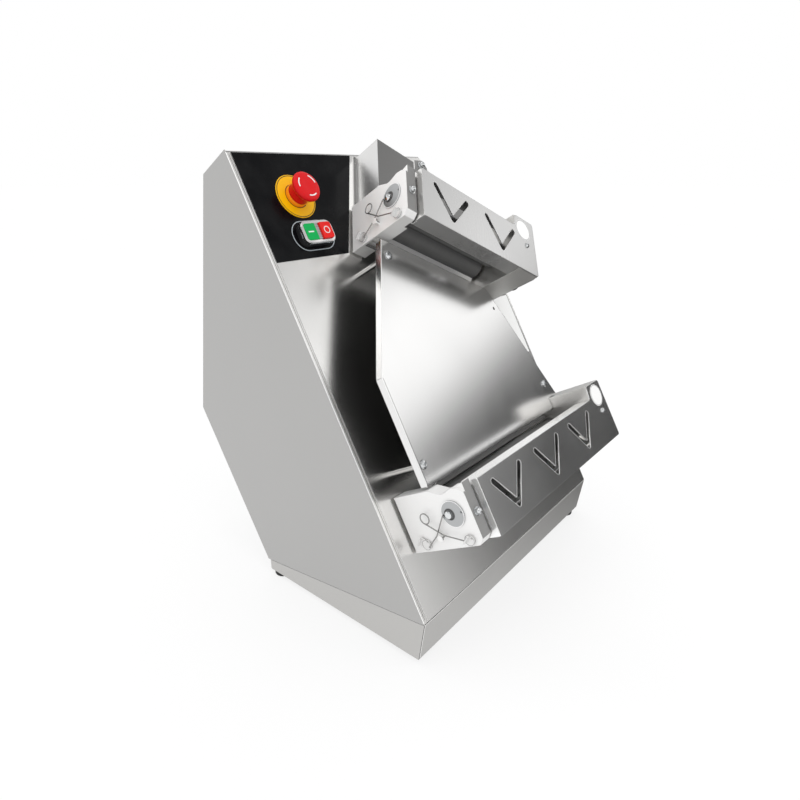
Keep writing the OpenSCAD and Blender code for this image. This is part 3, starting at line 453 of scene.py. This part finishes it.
# shaded rims under the screw heads, and thin shades round the tabs
for i, (cx, cy) in enumerate(((135, 441.9), (45, 182.5), (368.2, 196.5))):
    band(f"screw_shade_{i}", P, circle(cx, cy, 5.5, 40), circle(cx, cy, 6.1, 40), 59.99, 60.05, "seam", "cabinet")
for nm, F in (("upper", UU), ("lower", LL)):
    Fu = lambda v, n, u, F=F: F(u, v, n)
    for k, (cv, cn, b) in enumerate(((-61.5, 29, "back_scraper"), (-63, 97.5, "fore_scraper"))):
        band(f"{nm}_tab_shade_{k}", Fu, circle(cv, cn, 6.25, 48), circle(cv, cn, 6.6, 48), -21.28, -21.18, "seam", f"{nm}_{b}")
# painted highlights along the chute's left and slanted edges, with a dark line beside the left one
strip("chute_left_edge_highlight", P, (37.3, 159), (37.3, 296), 0.7, 59.99, 60.07, "edge", "cabinet")
strip("chute_left_seam", P, (38.9, 159), (38.9, 296), 0.5, 59.99, 60.05, "seam", "cabinet")
strip("chute_slant_edge_highlight", P, (38.2, 297.6), (133.6, 464.0), 0.7, 59.99, 60.07, "edge", "cabinet")

# ------------------------------------------------------------------ floor, lights, camera
bm = bmesh.new()
S = 30.0
vs = [bm.verts.new(v) for v in ((-S, -S, -0.0005), (S, -S, -0.0005), (S, S, -0.0005), (-S, S, -0.0005))]
bm.faces.new(vs)
gf = G("floor_white")
fx = gf.n("SeparateXYZ", i_0=gf.coords(rot=(0, 0, math.radians(22)))).outputs[0]
far = gf.n("Math", operation="MULTIPLY", i_0=gf.rng(fx, -0.05, 0.5, 0, 1), i_1=gf.n("LightPath").outputs["Is Glossy Ray"]).outputs[0]
pale = gf.mix(gf.rng(gf.noise(gf.coords(), 3, 2), 0.3, 0.7, 0, 1), (0.94, 0.94, 0.94), (0.95, 0.95, 0.95))
near = gf.mix(far, pale, (0.1, 0.1, 0.098))
M["floor"] = gf.set(Base_Color=gf.mix(0.8, near, (0, 0, 0)), Emission_Color=near, Emission_Strength=0.825, Roughness=0.9, Specular_IOR_Level=0.0)
floor = mesh_obj("floor", bm, "floor", smooth=False)

world = bpy.data.worlds.new("studio")
bpy.context.scene.world = world
bpy.context.scene.view_settings.view_transform = "Standard"
bpy.context.scene.view_settings.look = "None"
world.use_nodes = True
wt = world.node_tree
wt.nodes.clear()


def wn(kind, *ins, **kw):
    d = wt.nodes.new("ShaderNode" + kind)
    for k, v in kw.items():
        setattr(d, k, v)
    for i, x in enumerate(ins):
        if isinstance(x, bpy.types.NodeSocket):
            wt.links.new(x, d.inputs[i])
        elif x is not None:
            d.inputs[i].default_value = x
    return d


# white room for the floor and background; the steel sees it brighter at the left and darker at the right
vec = wn("TexCoord").outputs["Generated"]
front = wn("VectorMath", vec, (math.cos(math.radians(-20)), math.sin(math.radians(-20)), 0), operation="DOT_PRODUCT").outputs["Value"]
side = wn("MapRange", front, 0.797, 0.93, 1.0, 0.015, interpolation_type="SMOOTHSTEP").outputs[0]
height = wn("SeparateXYZ", vec).outputs[2]
over = wn("MapRange", height, 0.5, 0.64, 1.0, 0.5, interpolation_type="SMOOTHSTEP").outputs[0]
upper = wn("MapRange", height, 0.225, 0.295, 0.0, 0.95, interpolation_type="SMOOTHSTEP").outputs[0]
seen = wn("Math", wn("Math", side, upper, operation="MAXIMUM").outputs[0], over, operation="MULTIPLY").outputs[0]
lp = wn("LightPath")
plain = wn("Math", lp.outputs["Is Diffuse Ray"], 1.2 - 1.0, 1.0, operation="MULTIPLY_ADD").outputs[0]
lvl = wn("Mix", lp.outputs["Is Glossy Ray"], data_type="FLOAT")
wt.links.new(plain, lvl.inputs[2])
wt.links.new(seen, lvl.inputs[3])
bg = wn("Background", (1, 1, 1, 1), lvl.outputs[0])
wo = wn("OutputWorld", bg.outputs[0])


def area(name, loc, target, size, power, colr=(1, 1, 1), sy=None):
    l = bpy.data.lights.new(name, "AREA")
    l.shape = "RECTANGLE"
    l.size, l.size_y = size, sy or size
    l.energy = power
    l.color = colr
    o = bpy.data.objects.new(name, l)
    o.location = loc
    o.rotation_euler = (Vector(target) - Vector(loc)).to_track_quat("-Z", "Y").to_euler()
    col.objects.link(o)
    return o


def polar(az, el, r):
    az, el = math.radians(az), math.radians(el)
    return (r * math.cos(el) * math.cos(az), r * math.cos(el) * math.sin(az), 0.3 + r * math.sin(el))


area("softbox", polar(-35, 24.5, 2.6), (0, 0, 0.3), 1.5, 0.75, sy=0.6)
area("top", (-0.4, -0.3, 2.6), (0, 0, 0.2), 1.6, 9)

# camera fitted to the photograph
f_px = 584.186191
rv = Vector((2.71474382, -0.554439174, 1.15543383))
R = Matrix.Rotation(rv.length, 3, rv.normalized())
T = Vector((29.4343334, 274.065532, 708.79487))
A = Matrix(((1, 0, 0), (0, S30, -C30), (0, C30, S30)))  # panel to row axes
campos = -(R.transposed() @ T)
right, down, fwd = (Vector(R[i]) for i in range(3))
cd = bpy.data.cameras.new("camera")
cam = bpy.data.objects.new("camera", cd)
col.objects.link(cam)
rot = Matrix((A @ right, -(A @ down), -(A @ fwd))).transposed()
cam.matrix_world = Matrix.Translation(P(*campos)) @ rot.to_4x4()
cd.sensor_fit = "HORIZONTAL"
cd.sensor_width = 36
cd.lens = f_px / 800 * 36
cd.clip_start, cd.clip_end = 0.05, 100
bpy.context.scene.camera = cam
